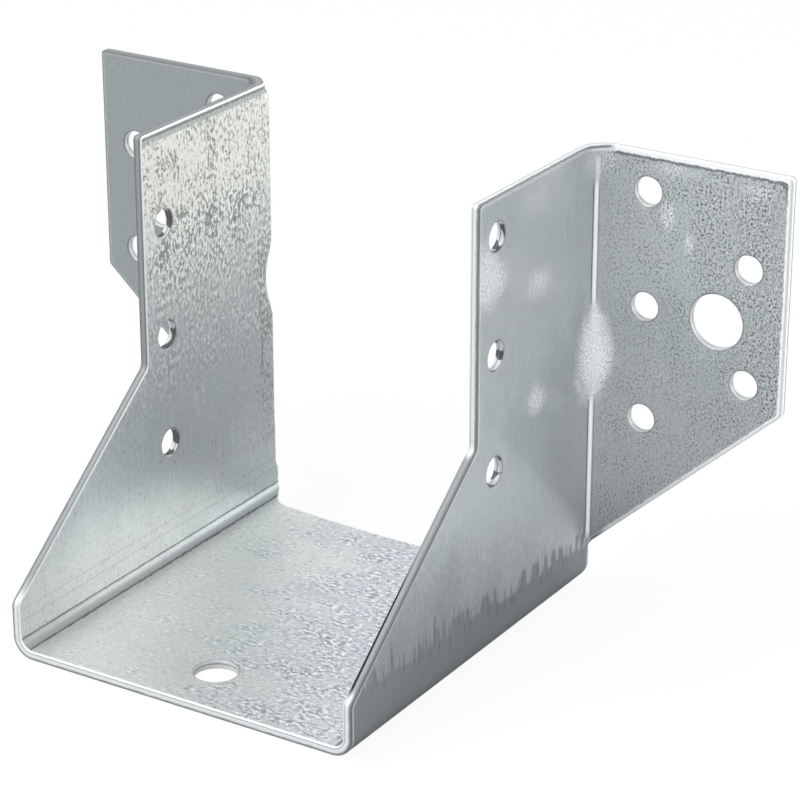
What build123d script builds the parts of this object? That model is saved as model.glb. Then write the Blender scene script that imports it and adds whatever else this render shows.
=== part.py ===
"""A joist hanger folded from one sheet of galvanised steel.

The frame: X runs across the joist, the joist leaves towards -Y and Z is up.
The origin is in the middle of the seat's top face. While the part is built, Y is
measured from the flanges' back faces, which lie against the header.
"""
import math
import os

from build123d import *

# the sheet and its folds
sheet = 1.5
seat_bend = 2.0
flange_bend = 0.8

# the seat, which the joist's end rests on
seat_width = 60.0
seat_depth = 72.0
seat_back_middle = 7.1
seat_back_corner = 5.6
seat_back_corner_x = 26.5
seat_back_round = 4.5
seat_hole = 7.0
seat_hole_inset = 10.2

# the two upright sides
side_height = 74.0
side_depth = 37.0
neck_drop = 38.7
toe_height = 7.6
neck_radius = 1.5
lower_back = 0.7
side_hole_inset = 5.4

# the flanges that are fixed to the header
flange_reach = 34.8
shoulder_drop = 38.7
flange_foot = 5.4
shoulder_radius = 1.0
near_column = 10.6
outer_column = 28.2
bolt_column = 23.1

# nail holes, on rows that alternate between two columns, counted down from the top
nail_hole = 4.7
bolt_hole = 9.0
top_row_drop = 6.3
row_step = 9.5

# the stiffening beads that are pressed into the flange folds
bead_drop = 34.5
bead_bump = 2.4
bead_dent = 2.25
dent_radius = 13.5
bump_blend = 1.0

# a margin by which the cutting shapes pass through the sheet
past = 5.0

half_width = seat_width / 2
outer_half = half_width + sheet
fold_depth = sheet + flange_bend
neck_height = side_height - neck_drop
flange_shoulder = side_height - shoulder_drop
bead_height = side_height - bead_drop
bead_axis = bead_dent - dent_radius
bump_radius = math.sqrt(2) * sheet + bead_bump - bead_axis
upper_rows = [side_height - top_row_drop - 2 * row_step * n for n in range(3)]
lower_rows = [row - row_step for row in upper_rows]

with BuildPart() as hanger:
    # seat and sides: one U-shaped section, with its two folds
    with BuildSketch(Plane.XZ.offset(lower_back)):
        with Locations((0, -sheet)):
            RectangleRounded(
                seat_width + 2 * sheet,
                side_height * 2,
                seat_bend + sheet,
                align=(Align.CENTER, Align.MIN),
            )
        RectangleRounded(
            seat_width,
            side_height * 2,
            seat_bend,
            align=(Align.CENTER, Align.MIN),
            mode=Mode.SUBTRACT,
        )
        with Locations((0, side_height)):
            Rectangle(
                seat_width * 2,
                side_height * 2,
                align=(Align.CENTER, Align.MIN),
                mode=Mode.SUBTRACT,
            )
    extrude(amount=seat_depth)

    # front outline of the sides: upright, sloping forward, then upright to the seat
    with BuildSketch(Plane.YZ) as front_outline:
        with BuildLine():
            Polyline(
                (-side_depth, side_height + past),
                (-side_depth, neck_height),
                (-seat_depth, toe_height),
                (-seat_depth, -past),
                (-seat_depth - past, -past),
                (-seat_depth - past, side_height + past),
                close=True,
            )
        make_face()
        turns = front_outline.vertices().sort_by(Axis.X)[2:]
        turns = turns.filter_by_position(Axis.Y, toe_height - 1, neck_height + 1)
        fillet(turns, radius=neck_radius)
    extrude(amount=outer_half + past, both=True, mode=Mode.SUBTRACT)

    # back of the seat, hollowed between the two lower corners of the sides
    with BuildSketch(Plane.XY.offset(-sheet - past)) as hollow:
        with BuildLine():
            Polyline(
                (-seat_back_corner_x, -seat_back_corner),
                (-half_width, -lower_back),
                (-half_width, past),
                (half_width, past),
                (half_width, -lower_back),
                (seat_back_corner_x, -seat_back_corner),
            )
            ThreePointArc(
                (-seat_back_corner_x, -seat_back_corner),
                (0, -seat_back_middle),
                (seat_back_corner_x, -seat_back_corner),
            )
        make_face()
        corners = hollow.vertices().filter_by_position(
            Axis.Y, -seat_back_corner - 0.01, -seat_back_corner + 0.01
        )
        fillet(corners, radius=seat_back_round)
    extrude(amount=sheet + past + seat_bend, mode=Mode.SUBTRACT)

    # the sides stop where the flange folds begin
    with Locations((0, -fold_depth, flange_foot)):
        Box(
            outer_half * 2 + past,
            fold_depth + past,
            side_height + past,
            align=(Align.CENTER, Align.MIN, Align.MIN),
            mode=Mode.SUBTRACT,
        )

    # flange folds and flanges, bent outwards from the back ends of the sides
    with BuildSketch(Plane.XY.offset(flange_foot)) as flange_section:
        with Locations((half_width, 0)):
            RectangleRounded(
                flange_reach * 2,
                flange_reach * 2,
                flange_bend + sheet,
                align=(Align.MIN, Align.MAX),
            )
        with Locations((outer_half, -sheet)):
            RectangleRounded(
                flange_reach * 2,
                flange_reach * 2,
                flange_bend,
                align=(Align.MIN, Align.MAX),
                mode=Mode.SUBTRACT,
            )
        with Locations((half_width, 0)):
            Rectangle(
                flange_reach,
                fold_depth,
                align=(Align.MIN, Align.MAX),
                mode=Mode.INTERSECT,
            )
        mirror(about=Plane.YZ)
    extrude(amount=side_height - flange_foot)

    # outer lower edge of the flanges, which slopes down to the foot of the fold
    with BuildSketch(Plane.XZ.offset(-past)) as taper:
        with BuildLine():
            Polyline(
                (half_width + flange_reach, side_height + past),
                (half_width + flange_reach, flange_shoulder),
                (outer_half, flange_foot),
                (outer_half, flange_foot - past),
                (half_width + flange_reach + past, flange_foot - past),
                (half_width + flange_reach + past, side_height + past),
                close=True,
            )
        make_face()
        shoulder = taper.vertices().filter_by_position(
            Axis.Y, flange_shoulder - 1, flange_shoulder + 1
        )
        fillet(shoulder, radius=shoulder_radius)
        mirror(about=Plane.YZ)
    extrude(amount=past + fold_depth, mode=Mode.SUBTRACT)

    # stiffening beads: a dent in each back corner and a bump in each front one,
    # both round about one level axis that lies square across the fold
    for hand in (-1, 1):
        across = Plane(
            origin=(hand * half_width, 0, bead_height),
            x_dir=(hand, -1, 0),
            z_dir=(1, hand, 0),
        )
        with BuildSketch(across.offset(-2 * past)):
            with Locations((bead_axis, 0)):
                Circle(dent_radius)
        extrude(amount=4 * past, mode=Mode.SUBTRACT)
        with BuildPart(mode=Mode.PRIVATE) as bump:
            with BuildSketch(Plane.XY.offset(bead_height - bump_radius)):
                with BuildLine():
                    Polyline(
                        (hand * (outer_half - sheet / 2), -sheet / 2),
                        (hand * (outer_half + 2 * past), -sheet / 2),
                        (hand * (outer_half - sheet / 2), -sheet - 2 * past),
                        close=True,
                    )
                make_face()
            extrude(amount=2 * bump_radius)
            with BuildSketch(across.offset(-2 * past)):
                with Locations((bead_axis, 0)):
                    Circle(bump_radius)
                    Circle(dent_radius, mode=Mode.SUBTRACT)
            extrude(amount=4 * past, mode=Mode.INTERSECT)
        add(bump.part)

    # the sheet runs softly into the bumps
    bead_edges = hanger.edges().filter_by(GeomType.ELLIPSE)
    fillet(bead_edges.filter_by(lambda edge: edge.length > dent_radius), radius=bump_blend)

    # nail holes of the sides, half a step apart between left and right
    for face_x, rows in ((-half_width, lower_rows), (half_width, upper_rows)):
        with BuildSketch(Plane.YZ.offset(face_x)):
            with Locations([(-side_depth + side_hole_inset, row) for row in rows]):
                Circle(nail_hole / 2)
        extrude(amount=sheet * 1.3, both=True, mode=Mode.SUBTRACT)

    # nail and bolt holes of the flanges
    with BuildSketch(Plane.XZ.offset(-past)):
        for hand in (-1, 1):
            with Locations([(hand * (half_width + near_column), row) for row in upper_rows]):
                Circle(nail_hole / 2)
            with Locations([(hand * (half_width + outer_column), row) for row in lower_rows[:2]]):
                Circle(nail_hole / 2)
            with Locations((hand * (half_width + bolt_column), upper_rows[1])):
                Circle(bolt_hole / 2)
    extrude(amount=past + fold_depth, mode=Mode.SUBTRACT)

    # the hole near the front of the seat
    with BuildSketch(Plane.XY):
        with Locations((0, -seat_depth + seat_hole_inset)):
            Circle(seat_hole / 2)
    extrude(amount=-sheet - past, mode=Mode.SUBTRACT)

# the origin goes to the middle of the seat
hanger.part = hanger.part.moved(Location((0, seat_depth / 2, 0)))
hanger.part.label = "hanger"

os.makedirs("parts", exist_ok=True)
export_step(hanger.part, "parts/hanger.step")
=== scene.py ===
"""The looks of a galvanised joist hanger: the folded sheet in fine detail, its zinc and the studio."""

import logging
import math
from dataclasses import dataclass
from enum import Enum

import bpy
import numpy as np
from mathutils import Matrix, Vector
from mathutils.geometry import delaunay_2d_cdt


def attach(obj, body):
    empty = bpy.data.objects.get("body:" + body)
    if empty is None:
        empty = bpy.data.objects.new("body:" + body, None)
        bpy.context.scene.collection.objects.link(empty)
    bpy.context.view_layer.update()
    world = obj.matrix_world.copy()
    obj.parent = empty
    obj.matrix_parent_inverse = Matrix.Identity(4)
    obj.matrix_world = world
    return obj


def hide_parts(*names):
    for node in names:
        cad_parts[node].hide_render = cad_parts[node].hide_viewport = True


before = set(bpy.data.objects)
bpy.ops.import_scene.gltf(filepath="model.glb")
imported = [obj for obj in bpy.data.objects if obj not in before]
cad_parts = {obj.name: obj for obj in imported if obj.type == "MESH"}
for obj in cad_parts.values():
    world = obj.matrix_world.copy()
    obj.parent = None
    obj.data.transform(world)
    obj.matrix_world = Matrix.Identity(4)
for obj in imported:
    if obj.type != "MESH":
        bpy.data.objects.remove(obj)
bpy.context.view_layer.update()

LOG = logging.getLogger("joist_hanger")
MM = 0.001


class SheetFace(Enum):
    """The two faces of the sheet, by the sign of the height above its middle surface."""

    INNER = 1
    OUTER = -1


def smoothstep(value: np.ndarray, low: float, high: float) -> np.ndarray:
    """Rises smoothly from 0 at low to 1 at high: t * t * (3 - 2 t) of the clipped share t.

    Args:
        value: The numbers to grade.
        low: Where the rise starts.
        high: Where the rise ends.

    Returns:
        Numbers from 0 to 1, in value's shape.
    """
    t = np.clip((value - low) / (high - low), 0.0, 1.0)
    return t * t * (3.0 - 2.0 * t)


def rounded_path(corners: np.ndarray, radii: np.ndarray, steps: int = 8) -> np.ndarray:
    """An open path whose inner corners are replaced by arcs.

    An arc leaves its corner's first leg at r * tan(half the turn) before the corner, and its
    points are the leg's end turned by equal shares of the turn about the arc's centre.

    Args:
        corners: The path's points, one row each.
        radii: The radius at each corner but the first and the last.
        steps: The number of straight pieces in an arc.

    Returns:
        The points of the rounded path, one row each.
    """
    before = corners[1:-1] - corners[:-2]
    after = corners[2:] - corners[1:-1]
    before = before / np.linalg.norm(before, axis=1)[:, None]
    after = after / np.linalg.norm(after, axis=1)[:, None]
    cross = before[:, 0] * after[:, 1] - before[:, 1] * after[:, 0]
    turn = np.arctan2(cross, (before * after).sum(1))
    start = corners[1:-1] - before * (radii * np.tan(np.abs(turn) / 2))[:, None]
    left = np.stack([-before[:, 1], before[:, 0]], 1)
    centre = start + left * (radii * np.sign(turn))[:, None]
    angle = turn[:, None] * np.linspace(0.0, 1.0, steps + 1)[None, :]
    arm = (start - centre)[:, None, :]
    x = arm[..., 0] * np.cos(angle) - arm[..., 1] * np.sin(angle)
    y = arm[..., 0] * np.sin(angle) + arm[..., 1] * np.cos(angle)
    arcs = (centre[:, None, :] + np.stack([x, y], -1)).reshape(-1, 2)
    return np.vstack([corners[:1], arcs, corners[-1:]])


def graded_steps(marks: list[float], steps: list[int]) -> np.ndarray:
    """Numbers that go evenly from each mark to the next, in that stretch's own steps.

    Args:
        marks: The numbers where the stretches meet, with the first and the last.
        steps: How many steps each stretch has.

    Returns:
        All the numbers in order, the last mark too.
    """
    parts = [np.linspace(a, b, n + 1)[:-1] for a, b, n in zip(marks, marks[1:], steps)]
    return np.concatenate(parts + [marks[-1:]])


def in_blocks(points: np.ndarray, block: int = 2000) -> list[np.ndarray]:
    """The points in blocks, so that a table of every point by every other stays small."""
    return np.array_split(points, max(1, len(points) // block))


def inside_loop(points: np.ndarray, loop: np.ndarray) -> np.ndarray:
    """Tells which points lie inside a closed loop, by counting the edges that each looks across.

    Args:
        points: The points to test, one row each.
        loop: The loop's points in order, without the first one repeated.

    Returns:
        One truth value for each point.
    """
    ends = np.roll(loop, -1, 0)
    rise = ends[:, 1] - loop[:, 1]
    slope = (ends[:, 0] - loop[:, 0]) / np.where(rise == 0.0, 1.0, rise)
    found = []
    for part in in_blocks(points):
        x, y = part[:, :1], part[:, 1:]
        crosses = (loop[:, 1] > y) != (ends[:, 1] > y)
        at = loop[:, 0] + (y - loop[:, 1]) * slope
        found.append((crosses & (x < at)).sum(1) % 2 == 1)
    return np.concatenate(found)


def nearest_distance(points: np.ndarray, others: np.ndarray) -> np.ndarray:
    """The distance from each point to the nearest of the others.

    Args:
        points: The points to measure from, one row each.
        others: The points to measure to, one row each.

    Returns:
        One distance for each point.
    """
    square = [((part[:, None] - others) ** 2).sum(-1).min(1) for part in in_blocks(points)]
    return np.sqrt(np.concatenate(square))


@dataclass(frozen=True)
class FoldedSheet:
    """The hanger's sizes in millimetres and the way its flat blank is folded.

    A place on the blank is (p, q, w): p runs across the seat and up the sides from the seat's
    middle, q runs from the seat's front to the flanges' outer edges, and w is the height above
    the sheet's middle surface, positive on the face that the joist touches.
    """

    sheet: float = 1.5
    half_width: float = 30.0
    seat_depth: float = 72.0
    side_depth: float = 37.0
    side_height: float = 74.0
    seat_bend: float = 2.0
    flange_bend: float = 0.8
    flange_reach: float = 34.8
    flange_foot: float = 5.4
    neck_height: float = 35.3
    toe_height: float = 7.6
    lower_back: float = 0.7
    seat_back_middle: float = 7.1
    seat_back_corner: float = 5.6
    seat_back_corner_x: float = 26.5
    seat_back_round: float = 4.5
    turn_round: float = 1.5
    top_round: float = 0.7
    shoulder_round: float = 1.0
    foot_round: float = 0.4
    notch_round: float = 0.3
    corner_round: float = 1.2
    nail_hole: float = 4.7
    bolt_hole: float = 9.0
    seat_hole: float = 7.0
    side_hole_inset: float = 5.4
    seat_hole_inset: float = 10.2
    near_column: float = 10.6
    outer_column: float = 28.2
    bolt_column: float = 23.1
    top_row: float = 67.7
    row_step: float = 9.5
    bead_height: float = 39.5
    bead_bump: float = 2.4
    bead_dent: float = 2.25
    dent_radius: float = 13.5
    bead_blend: float = 0.42
    plain_push: float = 0.35
    flattening: float = 1.5
    flat_start: float = 3.6
    flat_end: float = 0.4
    bead_reach: tuple[float, float] = (-9.0, 7.5)
    foot_ease: tuple[float, float] = (-1.0, 0.15)
    bead_ease: tuple[float, float] = (6.0, 9.0)
    least_push: float = 1e-4

    @property
    def half(self) -> float:
        """Half the sheet's thickness."""
        return self.sheet / 2

    @property
    def seat_mid(self) -> float:
        """The seat fold's radius to the sheet's middle surface."""
        return self.seat_bend + self.half

    @property
    def flange_mid(self) -> float:
        """The flange fold's radius to the sheet's middle surface."""
        return self.flange_bend + self.half

    @property
    def seat_flat(self) -> float:
        """p where the seat's flat part ends and its fold starts."""
        return self.half_width - self.seat_bend

    @property
    def side_start(self) -> float:
        """p where the seat fold ends and the side starts."""
        return self.seat_flat + self.seat_mid * math.pi / 2

    @property
    def fold_start(self) -> float:
        """q where the flange fold starts."""
        return -(self.sheet + self.flange_bend)

    @property
    def fold_end(self) -> float:
        """q where the flange fold ends and the flat flange starts."""
        return self.fold_start + self.flange_mid * math.pi / 2

    @property
    def fold_x(self) -> float:
        """X of the flange fold's axis."""
        return self.half_width + self.sheet + self.flange_bend

    def p_at(self, height: float) -> float:
        """p of a height on the upright side."""
        return self.side_start + height - self.seat_bend

    def q_at(self, x: float) -> float:
        """q of a distance from the middle on the flat flange."""
        return self.fold_end + x - self.fold_x

    def half_outline(self) -> np.ndarray:
        """The right half of the blank's outline, from the front middle to the back middle."""
        outer = self.q_at(self.half_width + self.flange_reach)
        top, neck = self.p_at(self.side_height), self.p_at(self.neck_height)
        foot = self.p_at(self.flange_foot)
        taper = (self.neck_height - self.flange_foot) / (self.flange_reach - self.sheet)
        corner_arc = self.seat_mid * math.asin((self.half_width - self.seat_flat) / self.seat_mid)
        x = np.linspace(self.seat_back_corner_x - 2.5, 0.0, 22)
        hollow = self.seat_back_middle - self.seat_back_corner
        back = -self.seat_back_middle + hollow * (x / self.seat_back_corner_x) ** 2
        hardly_round = 0.01
        corners = [
            (0.0, -self.seat_depth, 0.0),
            (self.p_at(self.toe_height), -self.seat_depth, self.turn_round),
            (neck, -self.side_depth, self.turn_round),
            (top, -self.side_depth, self.top_round),
            (top, outer, self.top_round),
            (neck, outer, self.shoulder_round),
            (foot + self.flange_bend * taper, self.fold_end, self.foot_round),
            (foot, -self.lower_back, self.notch_round),
            (self.seat_flat + corner_arc, -self.lower_back, self.corner_round),
            (self.seat_back_corner_x, -self.seat_back_corner, self.seat_back_round),
        ]
        corners += [(a, b, hardly_round) for a, b in zip(x, back)]
        table = np.array(corners)
        return rounded_path(table[:, :2], table[1:-1, 2])

    def holes(self) -> np.ndarray:
        """All holes on the blank, one row each: p, q and radius."""
        upper = self.top_row - 2 * self.row_step * np.arange(3)
        lower = upper - self.row_step
        side_q = -self.side_depth + self.side_hole_inset
        near = self.q_at(self.half_width + self.near_column)
        outer = self.q_at(self.half_width + self.outer_column)
        bolt = self.q_at(self.half_width + self.bolt_column)
        nail = self.nail_hole / 2
        rows = [(0.0, -self.seat_depth + self.seat_hole_inset, self.seat_hole / 2)]
        for hand, own in ((1, upper), (-1, lower)):
            rows += [(hand * self.p_at(z), side_q, nail) for z in own]
            rows += [(hand * self.p_at(z), near, nail) for z in upper]
            rows += [(hand * self.p_at(z), outer, nail) for z in lower[:2]]
            rows.append((hand * self.p_at(upper[1]), bolt, self.bolt_hole / 2))
        return np.array(rows)

    def lines(self) -> tuple[np.ndarray, np.ndarray]:
        """The p and q of the grid that fills the blank, closer together in the folds and beads."""
        top = self.p_at(self.side_height)
        outer = self.q_at(self.half_width + self.flange_reach)
        p = graded_steps([0.0, self.seat_flat, self.side_start, top], [22, 14, 75])
        q = graded_steps(
            [
                -self.seat_depth,
                -self.side_depth,
                self.bead_reach[0],
                self.fold_start,
                self.fold_end,
                self.bead_reach[1],
                outer,
            ],
            [29, 25, 15, 10, 16, 23],
        )
        return np.concatenate([-p[:0:-1], p]), q

    def bead_front(self, height: np.ndarray, w: np.ndarray) -> np.ndarray:
        """How far the pressed bead pushes the sheet out of the fold's sharp back corner.

        Both of its faces are round about one axis: sqrt(r^2 - (height above the bead)^2) less
        the axis's distance behind the corner, with r between the dent's and the bump's by w.
        Near the top edge the fold is flattened, by a smaller push that rises to the edge.
        """
        axis = self.dent_radius - self.bead_dent
        bump = math.sqrt(2) * self.sheet + self.bead_bump + axis
        radius = bump + (self.dent_radius - bump) * (w + self.half) / self.sheet
        above = height - self.bead_height
        bead = np.sqrt(np.maximum(radius**2 - above**2, 0.0)) - axis
        flat = smoothstep(
            height, self.side_height - self.flat_start, self.side_height - self.flat_end
        )
        top = self.plain_push + (self.flattening + (self.half - w) * math.sqrt(2)) * flat
        return np.maximum(bead, top)

    def fold(self, flat: np.ndarray) -> np.ndarray:
        """Folds places on the blank into the hanger.

        First the flange fold turns the sheet about an upright axis by its arc's angle, then the
        seat fold turns it about a level axis. Last the bead pushes each place along the line
        that halves the flange fold, by a soft maximum of its own distance and the bead's.

        Args:
            flat: Places (p, q, w) on the blank, one row each.

        Returns:
            Points (x, y, z) in the row frame, in metres.
        """
        hand = np.where(flat[:, 0] < 0, -1.0, 1.0)
        p, q, w = np.abs(flat[:, 0]), flat[:, 1], flat[:, 2]
        foot = self.p_at(self.flange_foot)
        bent = smoothstep(p, foot + self.foot_ease[0], foot + self.foot_ease[1])
        angle = np.clip((q - self.fold_start) / self.flange_mid, 0.0, math.pi / 2)
        radius = self.flange_mid + w
        past_fold = np.maximum(q - self.fold_end, 0.0)
        before = np.minimum(q, self.fold_start)
        y_bent = before + radius * np.sin(angle)
        out_bent = self.flange_mid - radius * np.cos(angle) + past_fold
        y = q + (y_bent - q) * bent
        out = -w + (out_bent + w) * bent

        turn = np.clip((p - self.seat_flat) / self.seat_mid, 0.0, math.pi / 2)
        reach = self.seat_mid + out
        x = np.minimum(p, self.seat_flat) + reach * np.sin(turn)
        z = self.seat_bend - reach * np.cos(turn) + np.maximum(p - self.side_start, 0.0)

        along = (x - self.half_width - y) / math.sqrt(2)
        gap = (self.bead_front(z, w) - along) / self.bead_blend
        push = self.bead_blend * np.logaddexp(0.0, gap)
        near_bead = smoothstep(p, foot + self.bead_ease[0], foot + self.bead_ease[1])
        push *= near_bead * (push > self.least_push)
        x = x + push / math.sqrt(2)
        y = y - push / math.sqrt(2) + self.seat_depth / 2
        return np.stack([hand * x, y, z], 1) * MM


@dataclass(frozen=True)
class ShearedEdge:
    """The rounding of the sheet's cut edges: a rolled edge on each face, with a plain wall."""

    inner_roll: float = 0.28
    inner_drop: float = 0.13
    outer_roll: float = 0.38
    outer_drop: float = 0.22
    wall: tuple[float, float] = (0.22, -0.18)
    steps: int = 4

    def stations(self, half: float) -> np.ndarray:
        """The edge's profile, one row for each station: inset, w and how much of a cut it is.

        Each rolled edge is a quarter of an ellipse: inset = roll (1 - cos a) and depth below the
        face = drop (1 - sin a), for the angle a from 90 degrees down to 0.
        """
        a = np.linspace(math.pi / 2, 0.0, self.steps + 1)
        share = np.linspace(0.0, 1.0, self.steps + 1) ** 3
        inset, depth = 1 - np.cos(a), 1 - np.sin(a)
        top = np.stack([self.inner_roll * inset, half - self.inner_drop * depth, share], 1)
        low = np.stack([self.outer_roll * inset, self.outer_drop * depth - half, share], 1)
        wall = np.array([[0.0, w, 1.0] for w in self.wall])
        return np.vstack([top, wall, low[::-1]])


@dataclass
class HangerSheet:
    """The hanger's one piece: the blank is meshed flat and then folded."""

    plan: FoldedSheet
    edge: ShearedEdge
    close_spacing: float = 0.27
    wide_spacing: float = 0.9
    hole_spacing: float = 0.36
    rim_clearance: float = 0.3
    far: float = 5.0
    fine_steps: int = 20000
    look_ahead: int = 60
    least_bend: float = 0.02

    def spaced_half(self) -> np.ndarray:
        """The half outline with its points close together in corners and folds, wide elsewhere.

        The path is cut very fine, each bit counts its length over the wanted spacing, and the
        points stand at equal steps of that count.
        """
        path = self.plan.half_outline()
        length = np.concatenate([[0.0], np.cumsum(np.linalg.norm(np.diff(path, axis=0), axis=1))])
        at = np.linspace(0.0, length[-1], self.fine_steps)
        fine = np.stack([np.interp(at, length, path[:, k]) for k in (0, 1)], 1)
        ahead = np.roll(fine, -self.look_ahead, 0) - fine
        behind = fine - np.roll(fine, self.look_ahead, 0)
        bend = np.abs(ahead[:, 0] * behind[:, 1] - ahead[:, 1] * behind[:, 0])
        lengths = np.linalg.norm(ahead, axis=1) * np.linalg.norm(behind, axis=1)
        close = bend > self.least_bend * lengths
        plan = self.plan
        fold_q, fold_reach = -1.2, 3.0
        close |= (fine[:, 0] > plan.seat_flat) & (fine[:, 0] < plan.side_start)
        close |= (fine[:, 0] > plan.side_start) & (np.abs(fine[:, 1] - fold_q) < fold_reach)
        close[: self.look_ahead] = close[-self.look_ahead :] = False
        spacing = np.where(close, self.close_spacing, self.wide_spacing)
        count = np.concatenate([[0.0], np.cumsum(np.diff(at) / spacing[1:])])
        steps = np.linspace(0.0, count[-1], int(round(count[-1])) + 1)
        return np.stack([np.interp(steps, count, fine[:, k]) for k in (0, 1)], 1)

    def loops(self) -> list[np.ndarray]:
        """The blank's closed loops: the outline anticlockwise, then each hole clockwise."""
        half = self.spaced_half()
        mirrored = half[::-1][1:-1] * np.array([-1.0, 1.0])
        found = [np.vstack([half, mirrored])]
        for p, q, radius in self.plan.holes():
            count = int(round(2 * math.pi * radius / self.hole_spacing))
            a = -2 * math.pi * np.arange(count) / count
            found.append(np.stack([p + radius * np.cos(a), q + radius * np.sin(a)], 1))
        return found

    def strip(self, loop: np.ndarray, stations: np.ndarray) -> np.ndarray:
        """The edge's profile carried along a loop: each point moved by the inset along the
        normal that points into the sheet, at each station's w.

        Args:
            loop: The loop's points on the cut edge.
            stations: The profile's rows: inset, w and share of cut.

        Returns:
            Places (p, q, w), in an array of loop point by station by 3.
        """
        along = np.roll(loop, -1, 0) - np.roll(loop, 1, 0)
        along /= np.linalg.norm(along, axis=1)[:, None]
        inward = np.stack([-along[:, 1], along[:, 0]], 1)
        flat = loop[:, None, :] + inward[:, None, :] * stations[None, :, 0, None]
        w = np.broadcast_to(stations[None, :, 1, None], flat.shape[:2] + (1,))
        return np.concatenate([flat, w], -1)

    def grid_points(
        self, loops: list[np.ndarray]
    ) -> tuple[np.ndarray, np.ndarray, np.ndarray]:
        """The grid's points that lie in the sheet, well clear of its edges.

        Args:
            loops: The blank's closed loops.

        Returns:
            The points, one row each, and their distances to the outline and to the nearest hole.
        """
        p, q = self.plan.lines()
        points = np.stack(np.meshgrid(p, q, indexing="ij"), -1).reshape(-1, 2)
        points = points[inside_loop(points, loops[0])]
        to_edge = nearest_distance(points, loops[0])
        holes = self.plan.holes()
        gaps = np.linalg.norm(points[:, None] - holes[None, :, :2], axis=-1) - holes[None, :, 2]
        to_hole = gaps.min(1)
        keep = np.minimum(to_edge, to_hole) > self.edge.outer_roll + self.rim_clearance
        return points[keep], to_edge[keep], to_hole[keep]

    def cap(self, rings: list[np.ndarray], points: np.ndarray) -> np.ndarray:
        """The triangles of one face of the blank, between the innermost rings.

        Args:
            rings: The innermost ring of each loop.
            points: The grid's points.

        Returns:
            Rows of three places in the list of all rings' points followed by the grid's.
        """
        every = np.vstack(rings + [points])
        starts = np.concatenate([[0], np.cumsum([len(ring) for ring in rings])])
        edges = np.vstack([
            np.stack([np.arange(a, b), np.roll(np.arange(a, b), -1)], 1)
            for a, b in zip(starts[:-1], starts[1:])
        ])
        made = delaunay_2d_cdt(
            [Vector(point) for point in every.tolist()], edges.tolist(), [], 0, 1e-7
        )
        origin = np.array([found[0] for found in made[3]])
        triangles = origin[np.array(made[2])]
        centre = every[triangles].mean(1)
        keep = inside_loop(centre, rings[0])
        for ring in rings[1:]:
            keep &= ~inside_loop(centre, ring)
        triangles = triangles[keep]
        a, b, c = (every[triangles[:, k]] for k in range(3))
        area = (b[:, 0] - a[:, 0]) * (c[:, 1] - a[:, 1]) - (b[:, 1] - a[:, 1]) * (c[:, 0] - a[:, 0])
        return np.where(area[:, None] < 0, triangles[:, ::-1], triangles)

    def build(self) -> bpy.types.Object:
        """Meshes the blank and folds it.

        Returns:
            The finished piece, with its places and distances as attributes.
        """
        stations = self.edge.stations(self.plan.half)
        count = len(stations)
        loops = self.loops()
        strips = [self.strip(loop, stations) for loop in loops]
        points, to_edge, to_hole = self.grid_points(loops)
        cap = self.cap([strip[:, 0, :2] for strip in strips], points)

        flat, quads, ring_of, start = [], [], [], 0
        for strip in strips:
            size = len(strip)
            index = start + np.arange(size * count).reshape(size, count)
            ahead = np.roll(index, -1, 0)
            corners = (index[:, :-1], index[:, 1:], ahead[:, 1:], ahead[:, :-1])
            quads.append(np.stack(corners, -1).reshape(-1, 4))
            ring_of.append(index)
            flat.append(strip.reshape(-1, 3))
            start += size * count
        half = self.plan.half
        inner = start + np.arange(len(points))
        outer = inner + len(points)
        flat += [np.column_stack([points, np.full(len(points), f.value * half)]) for f in SheetFace]
        flat_places = np.vstack(flat)

        to_inner = np.concatenate([ring[:, 0] for ring in ring_of] + [inner])
        to_outer = np.concatenate([ring[:, -1] for ring in ring_of] + [outer])
        faces = np.vstack(quads).tolist() + to_inner[cap].tolist() + to_outer[cap][:, ::-1].tolist()
        mesh = bpy.data.meshes.new("folded_sheet")
        mesh.from_pydata(self.plan.fold(flat_places).tolist(), [], faces)
        mesh.shade_smooth()
        mesh.update()

        rows = np.concatenate([np.tile(stations, (len(strip), 1)) for strip in strips])
        in_hole = np.arange(len(rows)) >= len(strips[0]) * count
        far = np.full(len(rows), self.far)
        edge = np.concatenate([np.where(in_hole, far, rows[:, 0]), to_edge, to_edge])
        hole = np.concatenate([np.where(in_hole, rows[:, 0], far), to_hole, to_hole])
        cut = np.concatenate([rows[:, 2], to_edge * 0.0, to_edge * 0.0])
        put_attribute(mesh, "flat_place", flat_places)
        put_attribute(mesh, "edge_distance", edge)
        put_attribute(mesh, "hole_distance", hole)
        put_attribute(mesh, "cut_face", cut)
        piece = bpy.data.objects.new("hanger_sheet", mesh)
        bpy.context.scene.collection.objects.link(piece)
        return piece


def put_attribute(mesh: bpy.types.Mesh, name: str, values: np.ndarray) -> None:
    """Stores one number, or one row of three, for each vertex under a name.

    Args:
        mesh: The mesh that gets the attribute.
        name: The attribute's name.
        values: One number or row for each vertex.
    """
    if values.ndim == 2:
        layer = mesh.attributes.new(name, "FLOAT_VECTOR", "POINT")
        layer.data.foreach_set("vector", values.astype(np.float32).ravel())
    else:
        layer = mesh.attributes.new(name, "FLOAT", "POINT")
        layer.data.foreach_set("value", values.astype(np.float32))


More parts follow.
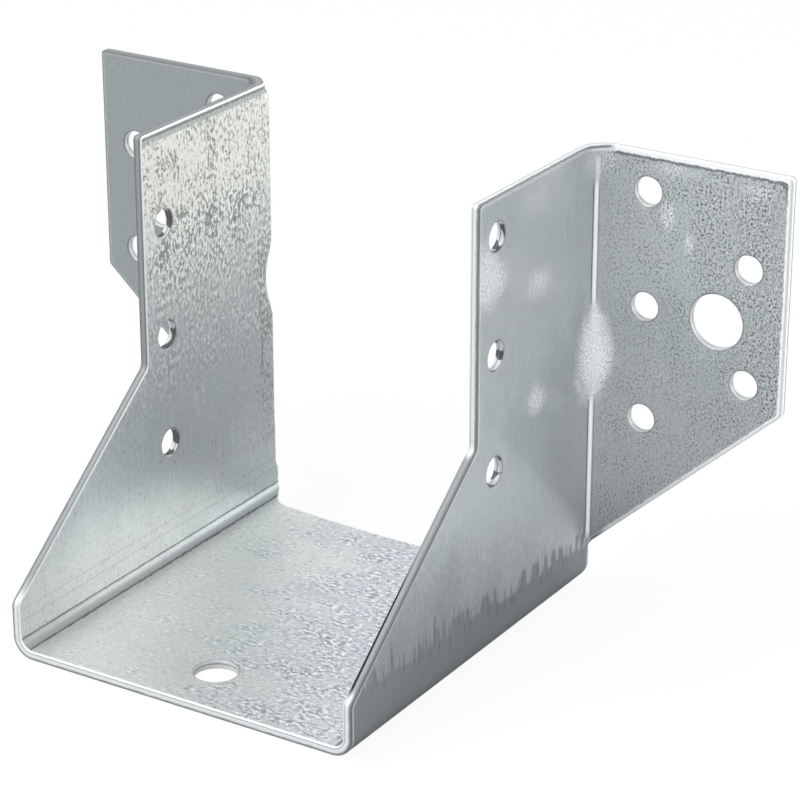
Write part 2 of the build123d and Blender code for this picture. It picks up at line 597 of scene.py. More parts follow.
class Wire:
    """A shader socket whose operators add Math nodes."""

    def __init__(self, graph: "Graph", socket: bpy.types.NodeSocket | None) -> None:
        """Holds a socket of a graph, or none for a node without outputs."""
        self.graph = graph
        self.socket = socket

    def _math(self, operation: str, *values: "Wire | float") -> "Wire":
        """One Math node with these inputs."""
        return self.graph.add("ShaderNodeMath", {"operation": operation}, dict(enumerate(values)))

    def __add__(self, other: "Wire | float") -> "Wire":
        """self + other."""
        return self._math("ADD", self, other)

    def __radd__(self, other: float) -> "Wire":
        """other + self."""
        return self._math("ADD", other, self)

    def __sub__(self, other: "Wire | float") -> "Wire":
        """self - other."""
        return self._math("SUBTRACT", self, other)

    def __rsub__(self, other: float) -> "Wire":
        """other - self."""
        return self._math("SUBTRACT", other, self)

    def __mul__(self, other: "Wire | float") -> "Wire":
        """self * other."""
        return self._math("MULTIPLY", self, other)

    def __rmul__(self, other: float) -> "Wire":
        """other * self."""
        return self._math("MULTIPLY", other, self)

    def __truediv__(self, other: "Wire | float") -> "Wire":
        """self / other."""
        return self._math("DIVIDE", self, other)

    def __pow__(self, other: "Wire | float") -> "Wire":
        """self to the power of other."""
        return self._math("POWER", self, other)

    def __abs__(self) -> "Wire":
        """The distance from zero."""
        return self._math("ABSOLUTE", self)

    def above(self, low: float, high: float) -> "Wire":
        """Rises smoothly from 0 at low to 1 at high."""
        return self.graph.add(
            "ShaderNodeMapRange",
            {"interpolation_type": "SMOOTHSTEP"},
            {"Value": self, "From Min": low, "From Max": high, "To Min": 0.0, "To Max": 1.0},
        )

    def below(self, low: float, high: float) -> "Wire":
        """Falls smoothly from 1 at low to 0 at high."""
        return 1 - self.above(low, high)

    def within(self, rise: tuple[float, float], fall: tuple[float, float]) -> "Wire":
        """Rises smoothly from 0 to 1 over one span and falls back to 0 over the other."""
        return self.above(*rise) * self.below(*fall)

    def most(self, other: "Wire | float") -> "Wire":
        """The larger of the two."""
        return self._math("MAXIMUM", self, other)

    def least(self, other: "Wire | float") -> "Wire":
        """The smaller of the two."""
        return self._math("MINIMUM", self, other)


class Graph:
    """A material's or world's node tree, with one method that adds any node."""

    def __init__(self, tree: bpy.types.NodeTree) -> None:
        """Empties the tree."""
        self.tree = tree
        tree.nodes.clear()

    def add(
        self,
        kind: str,
        settings: dict[str, object] | None = None,
        inputs: dict[int | str, object] | None = None,
        output: int | str = 0,
    ) -> Wire:
        """Adds a node, sets its settings first and then its inputs.

        Args:
            kind: The node's type.
            settings: The node's own settings, by name.
            inputs: A value or wire for each input, by its number or name.
            output: Which output to return.

        Returns:
            The chosen output.
        """
        node = self.tree.nodes.new(kind)
        for name, value in (settings or {}).items():
            setattr(node, name, value)
        for key, value in (inputs or {}).items():
            if isinstance(value, Wire):
                self.tree.links.new(value.socket, node.inputs[key])
            else:
                node.inputs[key].default_value = value
        return Wire(self, node.outputs[output] if len(node.outputs) else None)

    def blend(self, share: Wire | float, first: object, second: object) -> Wire:
        """Goes from the first colour to the second by the share."""
        return self.add(
            "ShaderNodeMix",
            {"data_type": "RGBA", "clamp_factor": True},
            {0: share, 6: first, 7: second},
            2,
        )

    def scaled(self, place: Wire, along: tuple[float, float, float]) -> Wire:
        """A place with each of its three numbers multiplied."""
        return self.add("ShaderNodeVectorMath", {"operation": "MULTIPLY"}, {0: place, 1: along})

    def noise(
        self, place: Wire, along: tuple[float, float, float], detail: float = 2.0, rough: float = 0.5
    ) -> Wire:
        """Noise whose cells are 1 / along in size, in the place's units."""
        return self.add(
            "ShaderNodeTexNoise",
            {"normalize": True},
            {
                "Vector": self.scaled(place, along),
                "Scale": 1.0,
                "Detail": detail,
                "Roughness": rough,
            },
        )


def rgba(red: float, green: float, blue: float) -> tuple[float, float, float, float]:
    """A linear colour with full cover."""
    return (red, green, blue, 1.0)


class Tone(Enum):
    """The tones of old zinc, and those of painted light and shade, as linear colours."""

    BODY = rgba(0.535, 0.575, 0.585)
    WORN = rgba(0.465, 0.495, 0.50)
    BLUE = rgba(0.465, 0.52, 0.575)
    DULL = rgba(0.28, 0.305, 0.305)
    DARK = rgba(0.115, 0.128, 0.132)
    BLACK = rgba(0.022, 0.024, 0.026)
    SLATE = rgba(0.155, 0.195, 0.25)
    OLIVE = rgba(0.125, 0.128, 0.10)
    # Painted half shade on the left side's inner face.
    PAINTED_HALF_SHADE = rgba(0.40, 0.425, 0.40)
    PALE = rgba(0.65, 0.675, 0.675)
    CREAM = rgba(0.735, 0.735, 0.67)
    BRIGHT = rgba(0.75, 0.755, 0.755)
    # Painted highlight tone: the seat, which faces up, and its reflection low on the left side.
    PAINTED_HIGHLIGHT = rgba(0.69, 0.715, 0.695)
    WHITE = rgba(0.97, 0.975, 0.975)


@dataclass(frozen=True)
class Patch:
    """A soft oval patch of another tone, or of painted light or shade, on one face of a side or
    flange.

    Its height is its middle's above the seat, q its middle's place across the blank, tall and
    wide are its half sizes in millimetres, and soft is the share of them that its rim takes.
    """

    tone: Tone
    hand: int
    face: SheetFace
    height: float
    q: float
    tall: float
    wide: float
    strength: float
    soft: float = 0.5


# Yellowish patina high on the left side's inner face, made lighter there as a painted highlight.
CREAM_PATINA_AND_HIGHLIGHT_PATCH = Patch(Tone.CREAM, -1, SheetFace.INNER, 66.0, -20.0, 27.0, 44.0, 1.0, 0.62)
TONE_AND_PAINTED_LIGHT_PATCHES = (
    CREAM_PATINA_AND_HIGHLIGHT_PATCH,
    # Painted shade: the left side's inner face grows darker from its top down to its lower middle.
    Patch(Tone.PAINTED_HALF_SHADE, -1, SheetFace.INNER, 41.0, -20.0, 16.0, 50.0, 0.55, 0.8),
    Patch(Tone.DULL, -1, SheetFace.INNER, 24.0, -20.0, 27.0, 50.0, 0.85, 0.8),
    # Painted reflection of the seat, low on the left side's inner face.
    Patch(Tone.PAINTED_HIGHLIGHT, -1, SheetFace.INNER, 4.0, -55.0, 16.0, 46.0, 0.85, 0.8),
    # Painted shade on the left flange's outer face.
    Patch(Tone.DULL, -1, SheetFace.OUTER, 55.0, 24.0, 56.0, 42.0, 1.0, 0.3),
    # Painted highlight high on the right side's outer face, then painted shade low on it.
    Patch(Tone.PALE, 1, SheetFace.OUTER, 60.0, -18.0, 30.0, 36.0, 0.95, 0.9),
    Patch(Tone.DULL, 1, SheetFace.OUTER, 4.0, -46.0, 26.0, 60.0, 0.85, 0.9),
    Patch(Tone.DULL, 1, SheetFace.OUTER, 6.0, -64.0, 26.0, 38.0, 0.9, 0.9),
    # Painted highlights on the right side and flange next to the flange fold.
    Patch(Tone.PALE, 1, SheetFace.OUTER, 50.0, 4.0, 40.0, 12.0, 0.55, 0.9),
    Patch(Tone.BRIGHT, 1, SheetFace.OUTER, 22.0, 8.0, 28.0, 22.0, 0.8, 0.9),
    Patch(Tone.DULL, 1, SheetFace.OUTER, 62.0, 30.0, 40.0, 16.0, 0.4, 0.9),
)
SCUFFS_AND_HIGHLIGHTS = (
    # Painted highlights on press marks and by the side's front edge.
    Patch(Tone.WHITE, 1, SheetFace.OUTER, 70.0, -20.0, 4.0, 6.0, 0.3, 0.9),
    Patch(Tone.WHITE, 1, SheetFace.OUTER, 62.0, -34.5, 7.5, 5.5, 1.0, 0.7),
    Patch(Tone.WHITE, 1, SheetFace.OUTER, 61.0, -32.5, 4.5, 6.0, 0.9, 0.9),
    Patch(Tone.WHITE, 1, SheetFace.OUTER, 56.5, -19.0, 3.6, 5.0, 0.8, 0.9),
    Patch(Tone.WHITE, 1, SheetFace.OUTER, 37.2, -19.0, 3.4, 4.0, 0.9, 0.8),
    # Painted highlights on the pressed bead and the fold's flattened top.
    Patch(Tone.WHITE, 1, SheetFace.OUTER, 39.5, -1.1, 9.0, 2.4, 0.4, 0.4),
    Patch(Tone.WHITE, 1, SheetFace.OUTER, 39.5, -2.4, 10.4, 5.8, 0.95, 0.5),
    Patch(Tone.WHITE, 1, SheetFace.OUTER, 71.5, -1.0, 3.5, 6.0, 0.5, 0.8),
    # Scratches on the right flange.
    Patch(Tone.WHITE, 1, SheetFace.OUTER, 64.2, 12.0, 3.4, 1.6, 0.7, 0.9),
    Patch(Tone.WHITE, 1, SheetFace.OUTER, 60.5, 15.8, 2.6, 1.2, 0.6, 0.9),
    Patch(Tone.WHITE, 1, SheetFace.OUTER, 72.0, 13.0, 1.8, 5.0, 0.45, 0.9),
    Patch(Tone.WHITE, 1, SheetFace.OUTER, 71.0, 27.0, 2.2, 4.0, 0.4, 0.9),
)


class SheetPlace:
    """The wires that tell a material where on the sheet it is, and masks made of them."""

    def __init__(self, graph: Graph, plan: FoldedSheet, faces_apart: float = 40.0) -> None:
        """Reads the piece's attributes, then makes the noises and zones that the marks share.

        Args:
            graph: The material's node tree.
            plan: The folded sheet.
            faces_apart: By how much w is stretched, so that each face has noise of its own.
        """
        self.graph = graph
        self.plan = plan
        spot = graph.add("ShaderNodeAttribute", {"attribute_name": "flat_place"}, output="Vector")
        self.p, self.q, self.w = (
            graph.add("ShaderNodeSeparateXYZ", {}, {0: spot}, axis) for axis in range(3)
        )
        self.edge = self.read("edge_distance")
        self.cut = self.read("cut_face")
        self.hole = self.read("hole_distance")
        self.height = abs(self.p) - plan.p_at(0.0)

        self.spread = graph.scaled(spot, (1.0, 1.0, faces_apart))
        self.ragged = graph.noise(self.spread, (0.8, 0.8, 1.0), 2.0, 0.7)
        self.cloud = graph.noise(self.spread, (0.09, 0.12, 1.0), 2.0, 0.6)
        self.streaks = graph.noise(self.spread, (0.10, 1.4, 1.0), 2.0, 0.6)
        self.grain = graph.noise(self.spread, (2.4, 2.8, 1.0), 2.0, 0.75)
        self.flecks = graph.noise(self.spread, (1.0, 1.7, 1.0), 3.0, 0.75)
        self.clusters = graph.noise(self.spread, (0.20, 0.24, 1.0), 1.0, 0.55)

        self.inner = self.on_face(SheetFace.INNER)
        self.outer = self.on_face(SheetFace.OUTER)
        self.left = self.on_hand(-1)
        self.right = self.on_hand(1)
        self.seat = abs(self.p).below(plan.seat_flat - 0.4, plan.seat_flat + 0.4)
        self.left_inner = self.left * self.inner * (1 - self.seat)
        self.past_fold = self.q.above(-0.5, 2.0)
        self.right_flange = self.past_fold * self.right
        self.flat_flange = self.q.above(1.0, 3.0) * self.right
        self.slope = self.q.below(-39.0, -37.5) * self.height.above(8.0, 9.5)

    def read(self, name: str) -> Wire:
        """The piece's own number of this name."""
        return self.graph.add("ShaderNodeAttribute", {"attribute_name": name}, output="Fac")

    def on_face(self, face: SheetFace) -> Wire:
        """1 on one face of the sheet, 0 on the other."""
        return (self.w * face.value).above(0.2, 0.5)

    def on_hand(self, hand: int) -> Wire:
        """1 on the right half for 1 and on the left half for -1."""
        return (self.p * hand).above(-1.0, 1.0)

    def patch(self, patch: Patch) -> Wire:
        """A patch's share: its oval distance, made ragged, from 1 inside to 0 outside."""
        up = (self.p - patch.hand * self.plan.p_at(patch.height)) / patch.tall
        across = (self.q - patch.q) / patch.wide
        far = (up * up + across * across) ** 0.5 + (self.ragged - 0.5) * 0.5
        far += (self.cloud - 0.5) * 0.5
        return far.below(1.0 - patch.soft, 1.0) * self.on_face(patch.face) * patch.strength

    def blue_part(self) -> Wire:
        """1 on the seat from its middle to the right, with a cloudy border."""
        return self.seat * (self.p + self.q * 0.25 + (self.cloud - 0.5) * 50.0).above(-26.0, 0.0)

    def top_band(self) -> Wire:
        """1 on the narrow band under the left side's top edge."""
        return self.left_inner * self.height.above(72.1, 72.4)

    def far_flange(self) -> Wire:
        """Rises over the right flange towards its upper outer corner."""
        return self.right_flange * (self.q + (self.height - 50.0) * 0.4).above(4.0, 34.0)

    def flange_rim(self) -> Wire:
        """1 along the right flange's worn outer edges, on the side that faces the joist."""
        worn = (self.edge + (self.ragged - 0.5) * 0.6).below(0.4, 0.8)
        return worn * self.flat_flange * self.outer

    def painted_shadow_rim(self) -> Wire:
        """1 on the painted shadow along the inner rim of the right side's slope, which grows wider
        downwards.
        """
        inner_part = (self.w - self.height * 0.016).above(0.0, 0.12) * self.height.below(19.0, 25.0)
        return inner_part * self.slope * self.right * self.edge.below(0.2, 0.5)

    def line(self, value: Wire, at: float, half_width: float, wobble: float) -> Wire:
        """A thin ragged line where the value is at a number."""
        off = abs(value - at + (self.ragged - 0.5) * wobble)
        return off.below(half_width * 0.4, half_width)


@dataclass(frozen=True)
class GalvanisedZinc:
    """Hot-dip zinc on the sheet, with the marks of rolling, punching and folding, and with painted
    light and shade.
    """

    name: str = "galvanised_zinc"
    metallic: float = 0.82
    cut_metallic: float = 0.25
    scuff_and_highlight_loss: float = 0.75
    rim_scuff: float = 0.8
    roughness: float = 0.36
    cloud_roughness: float = 0.2
    grain_roughness: float = 0.25
    cut_roughness: float = 0.15
    fold_roughness: float = 0.1
    most_roughness: float = 0.8
    bump_strength: float = 0.16
    bump_depth: float = 0.0002

    def material(self, plan: FoldedSheet) -> bpy.types.Material:
        """Builds the material.

        Args:
            plan: The folded sheet, whose places the marks are set out by.

        Returns:
            The finished material.
        """
        made = bpy.data.materials.new(self.name)
        made.use_nodes = True
        g = Graph(made.node_tree)
        at = SheetPlace(g, plan)
        colour = self.face_colour(g, at)
        scuffed_and_highlit = at.flange_rim() * self.rim_scuff
        broken = at.grain.above(0.46, 0.56) * 0.8 + 0.2
        # Scuffs and painted highlights, which both lower the metallic.
        for patch in SCUFFS_AND_HIGHLIGHTS:
            share = at.patch(patch) * broken
            colour = g.blend(share, colour, patch.tone.value)
            scuffed_and_highlit = scuffed_and_highlit.most(share)
        colour = self.seat_fold_painted_reflection(g, at, colour)
        colour = self.draw_marks(g, at, colour)
        colour = self.flange_fold_painted_highlight(g, at, colour)
        colour = self.rim_highlights_and_wear(g, at, colour)
        colour = g.blend(at.cut.above(0.1, 0.8), colour, self.wall_colour(g, at))
        colour = self.torn_edge(g, at, colour)
        normal = g.add(
            "ShaderNodeBump",
            {},
            {"Strength": self.bump_strength, "Distance": self.bump_depth, "Height": at.grain},
        )
        shader = g.add(
            "ShaderNodeBsdfPrincipled",
            {},
            {
                "Base Color": colour,
                "Metallic": self.metal_share(at, scuffed_and_highlit),
                "Roughness": self.rough_share(at),
                "Normal": normal,
            },
        )
        g.add("ShaderNodeOutputMaterial", {}, {"Surface": shader})
        return made

    def rough_share(self, at: SheetPlace) -> Wire:
        """Roughness, which varies with the clouds and the grain and rises on cuts and folds."""
        fold = at.height.within((-2.6, -2.2), (1.8, 2.4))
        rough = self.roughness + (at.cloud - 0.5) * self.cloud_roughness
        rough += (at.grain - 0.5) * self.grain_roughness
        rough += at.cut * self.cut_roughness + fold * self.fold_roughness
        return rough.least(self.most_roughness)

    def metal_share(self, at: SheetPlace, scuffed_and_highlit: Wire) -> Wire:
        """Metallic, which falls on scuffs and painted highlights and on the cut faces."""
        metal = self.metallic - scuffed_and_highlit * self.scuff_and_highlight_loss
        metal += at.cut * (self.cut_metallic - self.metallic)
        # Full metallic on the painted shadow rim, so that it stays black.
        return metal.most(at.painted_shadow_rim())

    def face_colour(self, g: Graph, at: SheetPlace) -> Wire:
        """The two faces' colour, with painted shade and highlight patches and a painted shadow, before
        the scuffs and painted highlights, the folds and the edges.
        """
        colour = self.ground_colour(g, at)
        colour = self.fine_lines(g, at, colour)
        colour = self.flecked(g, at, colour)
        colour = self.streaked(g, at, colour)
        return self.painted_shadow_triangle(g, at, colour)

    def ground_colour(self, g: Graph, at: SheetPlace) -> Wire:
        """Clouds of two tones, the seat made lighter as a painted highlight, its blue part, then the
        patches of tone and of painted light and shade.
        """
        colour = g.blend(at.cloud.above(0.35, 0.65) * 0.5, Tone.BODY.value, Tone.WORN.value)
        # Painted highlight: the seat, which faces up, is made lighter.
        colour = g.blend(at.seat, colour, Tone.PAINTED_HIGHLIGHT.value)
        blue = at.blue_part() * (0.6 - at.q.below(-66.0, -50.0) * 0.25)
        colour = g.blend(blue, colour, Tone.BLUE.value)
        # Patches of tone, of painted shade and of painted highlight.
        for patch in TONE_AND_PAINTED_LIGHT_PATCHES:
            colour = g.blend(at.patch(patch), colour, patch.tone.value)
        return colour

    def fine_lines(self, g: Graph, at: SheetPlace, colour: Wire) -> Wire:
        """The left side's inner face: a dull band at the top, a crease, a scratch, drawn lines."""
        colour = g.blend(at.top_band() * 0.72, colour, Tone.DULL.value)
        crease = at.line(at.height, 73.3, 0.3, 0.2) * 0.8
        scratch = at.line(at.q, -5.1, 0.42, 1.6) * at.height.within((22.0, 25.0), (36.0, 39.0))
        colour = g.blend(crease.most(scratch * 0.5) * at.left_inner, colour, Tone.DARK.value)
        drawn = at.line(at.height, 4.6, 0.2, 0.8).most(at.line(at.height, 6.4, 0.16, 0.8))
        return g.blend(drawn * at.left_inner * 0.22, colour, Tone.DARK.value)

    def flecked(self, g: Graph, at: SheetPlace, colour: Wire) -> Wire:
        """Dark and bright flecks along the rolling direction.

        Each zone adds to how many flecks there are, how mottled the ground is, how dark the
        dark ones are and how bright the bright ones.
        """
        cream, blue, far = at.patch(CREAM_PATINA_AND_HIGHLIGHT_PATCH), at.blue_part(), at.far_flange()
        middle = at.left_inner * at.height.within((24.0, 36.0), (52.0, 64.0))
        by_fold = at.left_inner * (at.q + (at.cloud - 0.5) * 8.0).above(-8.5, -4.5)
        by_fold *= at.height.within((8.0, 14.0), (44.0, 52.0))

        mottled = at.left_inner * 0.6 + at.seat * 0.7 + cream * 0.5 + blue * 0.5 + 0.1
        mottled = mottled.least(1.0)
        amount = cream * 0.075 + blue * 0.09 + at.left_inner * 0.05 - 0.05
        amount *= 1 - at.top_band()
        amount += at.seat * 0.03 + far * 0.075 + middle * 0.05 + by_fold * 0.09
        amount += (at.clusters - 0.5) * 0.32 * mottled

        light = (at.flecks + amount * 0.6).above(0.56, 0.66)
        brightness = cream * 0.5 + at.seat * 0.8 + far * 0.4 + middle * 0.4 + 0.1
        colour = g.blend(light * brightness, colour, Tone.BRIGHT.value)
        colour = g.blend(light * at.seat * 0.6, colour, Tone.WHITE.value)

        dark = (at.flecks - amount).below(0.34, 0.40)
        darkness = mottled * 0.3 + cream * 0.35 + blue * 0.08 + far * 0.4
        darkness += middle * 0.15 + at.seat * 0.14 + by_fold * 0.25 + 0.12
        fleck_tone = g.blend(at.seat * 0.8, Tone.OLIVE.value, Tone.SLATE.value)
        colour = g.blend(dark * darkness, colour, fleck_tone)
        soft = at.flecks.below(0.42, 0.55) * mottled * (0.16 + middle * 0.4)
        return g.blend(soft, colour, Tone.DULL.value)

    def streaked(self, g: Graph, at: SheetPlace, colour: Wire) -> Wire:
        """Long streaks along the rolling direction, then the right flange's fine speckle."""
        left_flange = at.past_fold * at.left
        bright = at.streaks.above(0.55, 0.8) * (0.3 - left_flange * 0.24)
        colour = g.blend(bright, colour, Tone.PALE.value)
        colour = g.blend(at.streaks.below(0.25, 0.42) * 0.2, colour, Tone.DULL.value)
        uneven = at.clusters.above(0.32, 0.62) * 0.9 + 0.5
        speckle = 0.12 + (at.right_flange * 0.38 + at.far_flange() * 0.45) * uneven
        colour = g.blend(at.grain.below(0.38, 0.48) * speckle, colour, Tone.DARK.value)
        return g.blend(at.grain.above(0.54, 0.63) * speckle * 0.65, colour, Tone.BRIGHT.value)

    def painted_shadow_triangle(self, g: Graph, at: SheetPlace, colour: Wire) -> Wire:
        """A painted shadow: a darker triangle on the right side, above a line that climbs towards the
        front.
        """
        above_line = (at.height + at.q * 0.93 + (at.ragged - 0.5) * 2.0).above(5.6, 8.2)
        on_side = at.q.below(-2.0, -1.0) * at.height.below(28.0, 44.0) * at.right * at.outer
        return g.blend(above_line * on_side * 0.25, colour, Tone.DULL.value)

    def seat_fold_painted_reflection(self, g: Graph, at: SheetPlace, colour: Wire) -> Wire:
        """The seat folds' inner faces: a painted reflection, a dull band between two dark lines."""
        start, end = at.plan.seat_flat + 0.7, at.plan.side_start - 0.6
        reach = abs(at.p)
        band = reach.within((start - 0.4, start + 0.4), (end - 0.4, end + 0.4))
        # Painted shade: the band tones down the fold's reflection.
        colour = g.blend(band * at.inner * 0.75, colour, Tone.DULL.value)
        lines = at.line(reach, start, 0.36, 0.9).most(at.line(reach, end, 0.28, 0.5))
        # Painted dark reflections along the fold's two edges.
        return g.blend(lines * at.inner * 0.85, colour, Tone.DARK.value)

    def draw_marks(self, g: Graph, at: SheetPlace, colour: Wire) -> Wire:
        """The seat folds' outer faces: a dark band whose top ends in flat and pointed marks, then
        painted shade under the seat and round its folds.
        """
        draws = g.noise(at.spread, (0.06, 0.62, 1.0), 2.0, 0.7)
        stepped = (draws.above(0.42, 0.52) - 0.5) * 2.4 + (draws - 0.5) * 1.6
        top = at.height + stepped + (at.cloud - 0.5) * 3.0 + at.q * 0.052 - 1.05
        upright = at.outer * at.q.below(-1.0, 0.5)
        band_tone = g.blend(0.45, Tone.DULL.value, Tone.DARK.value)
        colour = g.blend(top.below(4.9, 5.9) * upright * 0.85, colour, band_tone)
        marks = abs(top - 5.4).below(1.0, 2.6) * at.streaks.below(0.40, 0.48)
        colour = g.blend(marks * upright * 0.55, colour, Tone.DARK.value)
        # Painted shade: darker under the seat and round the seat folds, next to the floor.
        return g.blend(at.height.below(-1.5, 2.5) * at.outer * 0.55, colour, Tone.DARK.value)

    def flange_fold_painted_highlight(self, g: Graph, at: SheetPlace, colour: Wire) -> Wire:
        """The flange folds' outer faces: a painted highlight strip between two painted dark reflection
        lines.
        """
        span = at.height.within((6.0, 8.0), (66.5, 68.5)) * at.outer
        span *= abs(at.height - at.plan.bead_height).above(7.0, 9.5)
        strip = at.q.within((-1.9, -1.5), (-0.75, -0.35))
        # Painted highlight along the flange fold.
        colour = g.blend(strip * span * 0.85, colour, Tone.WHITE.value)
        lines = at.line(at.q, -2.15, 0.3, 0.2).most(at.line(at.q, -0.12, 0.26, 0.2) * 0.6)
        # Painted dark reflections on both sides of it.
        return g.blend(lines * span * 0.9, colour, Tone.DARK.value)

    def rim_highlights_and_wear(self, g: Graph, at: SheetPlace, colour: Wire) -> Wire:
        """The rolled rims of the cut edges: painted highlights, worn white edges on the right flange,
        and a dark line on its top.
        """
        # Painted highlights on the inner and outer rims.
        inner_rim_highlight = at.edge.below(0.15, 0.5) * at.inner * (0.9 - at.flat_flange * 0.7)
        colour = g.blend(inner_rim_highlight, colour, Tone.WHITE.value)
        outer_rim_highlight = at.line(at.edge, 0.5, 0.26, 0.3) * at.outer
        outer_rim_highlight *= 0.1 + at.right * (0.25 - at.slope * 0.2)
        colour = g.blend(outer_rim_highlight, colour, Tone.WHITE.value)
        colour = g.blend(at.flange_rim() * 0.75, colour, Tone.WHITE.value)
        upper = at.flat_flange * at.outer * at.height.above(69.0, 72.0)
        return g.blend(at.line(at.edge, 0.95, 0.28, 1.0) * upper * 0.7, colour, Tone.DARK.value)

    def wall_colour(self, g: Graph, at: SheetPlace) -> Wire:
        """The cut walls: bright on the right flange, dull on slopes; in holes, painted black shade
        with painted white glare.
        """
        left_side = at.left * at.height.above(9.0, 11.0)
        wall = g.blend(at.flat_flange, Tone.PALE.value, Tone.WHITE.value)
        wall = g.blend((at.slope * 0.85).most(left_side * 0.95), wall, Tone.DULL.value)
        darker = (at.slope * at.right * 0.5).most(left_side * 0.35)
        wall = g.blend(darker, wall, Tone.DARK.value)
        outline = at.line(at.w, 0.42, 0.11, 0.1) * 0.55 + at.flat_flange * at.w.above(0.25, 0.5) * 0.6
        wall = g.blend(outline, wall, Tone.DARK.value)
        in_side = at.q.below(-20.0, -10.0) * at.height.above(4.0, 6.0)
        # Painted shade and glare in the holes: black broken by white in the sides' holes, white
        # elsewhere.
        glare = g.noise(at.spread, (0.5, 0.5, 0.02), 0.0).above(0.47, 0.52)
        hole_wall = g.blend(in_side * glare, Tone.WHITE.value, Tone.BLACK.value)
        hole_wall = g.blend(at.line(at.w, 0.15, 0.13, 0.2) * 0.8, hole_wall, Tone.DARK.value)
        return g.blend(at.hole.below(0.5, 1.0), wall, hole_wall)

    def torn_edge(self, g: Graph, at: SheetPlace, colour: Wire) -> Wire:
        """The walls' dark, torn outer third, dark lines round the edges and holes, then the painted
        shadow on the right slope's inner rim.
        """
        third = (at.w + (at.ragged - 0.5) * 0.9).below(-0.36, -0.18) * at.edge.below(0.12, 0.42)
        third *= 1 - at.flat_flange * 0.6
        colour = g.blend(third * 0.85, colour, Tone.DARK.value)
        left_front = at.left * at.height.above(9.0, 11.0) * at.q.below(-30.0, -28.0)
        left_front *= at.edge.below(0.2, 0.5) * at.line(at.w, 0.5, 0.14, 0.1)
        colour = g.blend(left_front * 0.9, colour, Tone.DARK.value)
        colour = g.blend(at.line(at.hole, 0.1, 0.2, 0.2) * 0.5, colour, Tone.DARK.value)
        # Painted shadow on the right slope's inner rim.
        return g.blend(at.painted_shadow_rim(), colour, Tone.BLACK.value)


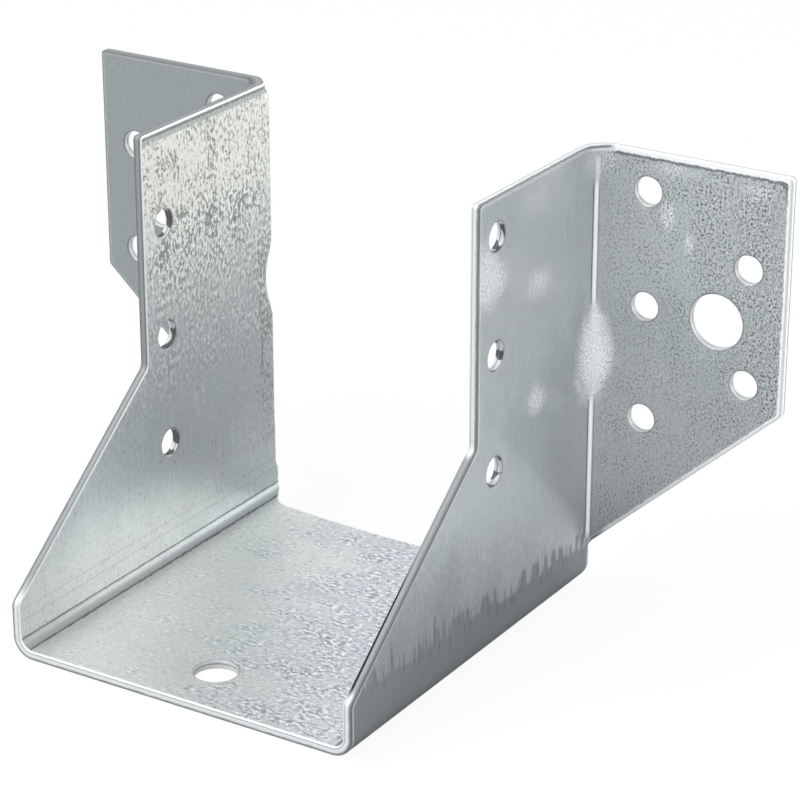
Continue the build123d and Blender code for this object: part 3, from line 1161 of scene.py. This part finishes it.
@dataclass
class Studio:
    """The plain pale floor, the soft lamps, the white surround and the camera."""

    floor_height: float = -0.0015
    floor_size: float = 3.0
    aim: tuple[float, float, float] = (-0.005514, 0.036, 0.022004)
    azimuth: float = 32.226
    elevation: float = 22.789
    distance: float = 0.506903
    focal_length: float = 135.905
    floor_tone: tuple[float, float, float, float] = rgba(0.72, 0.73, 0.74)
    floor_glow: float = 0.93
    sky_tone: tuple[float, float, float, float] = rgba(0.97, 0.985, 1.0)
    sky_light: float = 0.8
    sky_mirrored: float = 1.03
    white: tuple[float, float, float, float] = rgba(1.0, 1.0, 1.0)
    softboxes: tuple[tuple, ...] = (
        ("top_softbox", (-0.25, -0.35, 0.75), (0, 0, 0.03), 0.7, 6.5),
        ("back_softbox", (0.42, 0.62, 0.10), (-0.03, 0, 0.05), 0.4, 2.1),
    )

    def build(self) -> None:
        """Builds the whole studio."""
        self.build_floor()
        self.build_world()
        self.build_lamps()
        self.build_camera()

    def build_floor(self) -> None:
        """A flat square floor, white to the eye, which keeps a share of the shadow."""
        size = self.floor_size
        mesh = bpy.data.meshes.new("studio_floor")
        corners = [(-size, -size), (size, -size), (size, size), (-size, size)]
        mesh.from_pydata([(x, y, self.floor_height) for x, y in corners], [], [(0, 1, 2, 3)])
        floor = bpy.data.objects.new("studio_floor", mesh)
        bpy.context.scene.collection.objects.link(floor)
        made = bpy.data.materials.new("pale_floor")
        made.use_nodes = True
        g = Graph(made.node_tree)
        matte = g.add("ShaderNodeBsdfDiffuse", {}, {"Color": self.floor_tone})
        glow = g.add("ShaderNodeEmission", {}, {"Color": self.white, "Strength": 1.0})
        seen = g.add("ShaderNodeLightPath", {}, {}, "Is Camera Ray")
        mixed = g.add("ShaderNodeMixShader", {}, {0: seen * self.floor_glow, 1: matte, 2: glow})
        g.add("ShaderNodeOutputMaterial", {}, {"Surface": mixed})
        mesh.materials.append(made)

    def build_world(self) -> None:
        """White to the eye and in reflections, and a plain soft light on everything."""
        world = bpy.data.worlds.new("white_surround")
        world.use_nodes = True
        g = Graph(world.node_tree)
        camera, glossy, clear = (
            g.add("ShaderNodeLightPath", {}, {}, f"Is {kind} Ray")
            for kind in ("Camera", "Glossy", "Transmission")
        )
        light, mirrored, white = (
            g.add("ShaderNodeBackground", {}, {"Color": tone, "Strength": strength})
            for tone, strength in (
                (self.sky_tone, self.sky_light),
                (self.sky_tone, self.sky_mirrored),
                (self.white, 1.0),
            )
        )
        lit = g.add("ShaderNodeMixShader", {}, {0: glossy, 1: light, 2: mirrored})
        mixed = g.add("ShaderNodeMixShader", {}, {0: camera.most(clear), 1: lit, 2: white})
        g.add("ShaderNodeOutputWorld", {}, {"Surface": mixed})
        bpy.context.scene.world = world

    def build_lamps(self) -> None:
        """Soft boxes: name, place, aim, size in metres and power in watts."""
        for name, place, aim, size, power in self.softboxes:
            lamp = bpy.data.lights.new(name, "AREA")
            lamp.shape = "SQUARE"
            lamp.size = size
            lamp.energy = power
            thing = bpy.data.objects.new(name, lamp)
            thing.location = place
            thing.rotation_euler = (Vector(aim) - Vector(place)).to_track_quat("-Z", "Y").to_euler()
            bpy.context.scene.collection.objects.link(thing)

    def build_camera(self) -> None:
        """The camera at the photograph's viewing angle, aimed so that it needs no shift."""
        a, e = math.radians(self.azimuth), math.radians(self.elevation)
        away = Vector((math.sin(a) * math.cos(e), -math.cos(a) * math.cos(e), math.sin(e)))
        lens = bpy.data.cameras.new("photo_camera")
        lens.sensor_width = 36.0
        lens.lens = self.focal_length
        camera = bpy.data.objects.new("photo_camera", lens)
        camera.location = Vector(self.aim) + away * self.distance
        camera.rotation_euler = (-away).to_track_quat("-Z", "Y").to_euler()
        bpy.context.scene.collection.objects.link(camera)
        bpy.context.scene.camera = camera


def main() -> None:
    """Builds the sheet, dresses it, sets up the studio and logs the sheet's face count."""
    logging.basicConfig(level=logging.INFO, format="%(message)s")
    plan = FoldedSheet()
    piece = HangerSheet(plan, ShearedEdge()).build()
    piece.data.materials.append(GalvanisedZinc().material(plan))
    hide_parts("hanger")
    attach(piece, "root")
    LOG.info("%s: %d faces", piece.name, len(piece.data.polygons))
    scene = bpy.context.scene
    scene.view_settings.view_transform = "Standard"
    Studio().build()


if __name__ == "__main__":
    main()
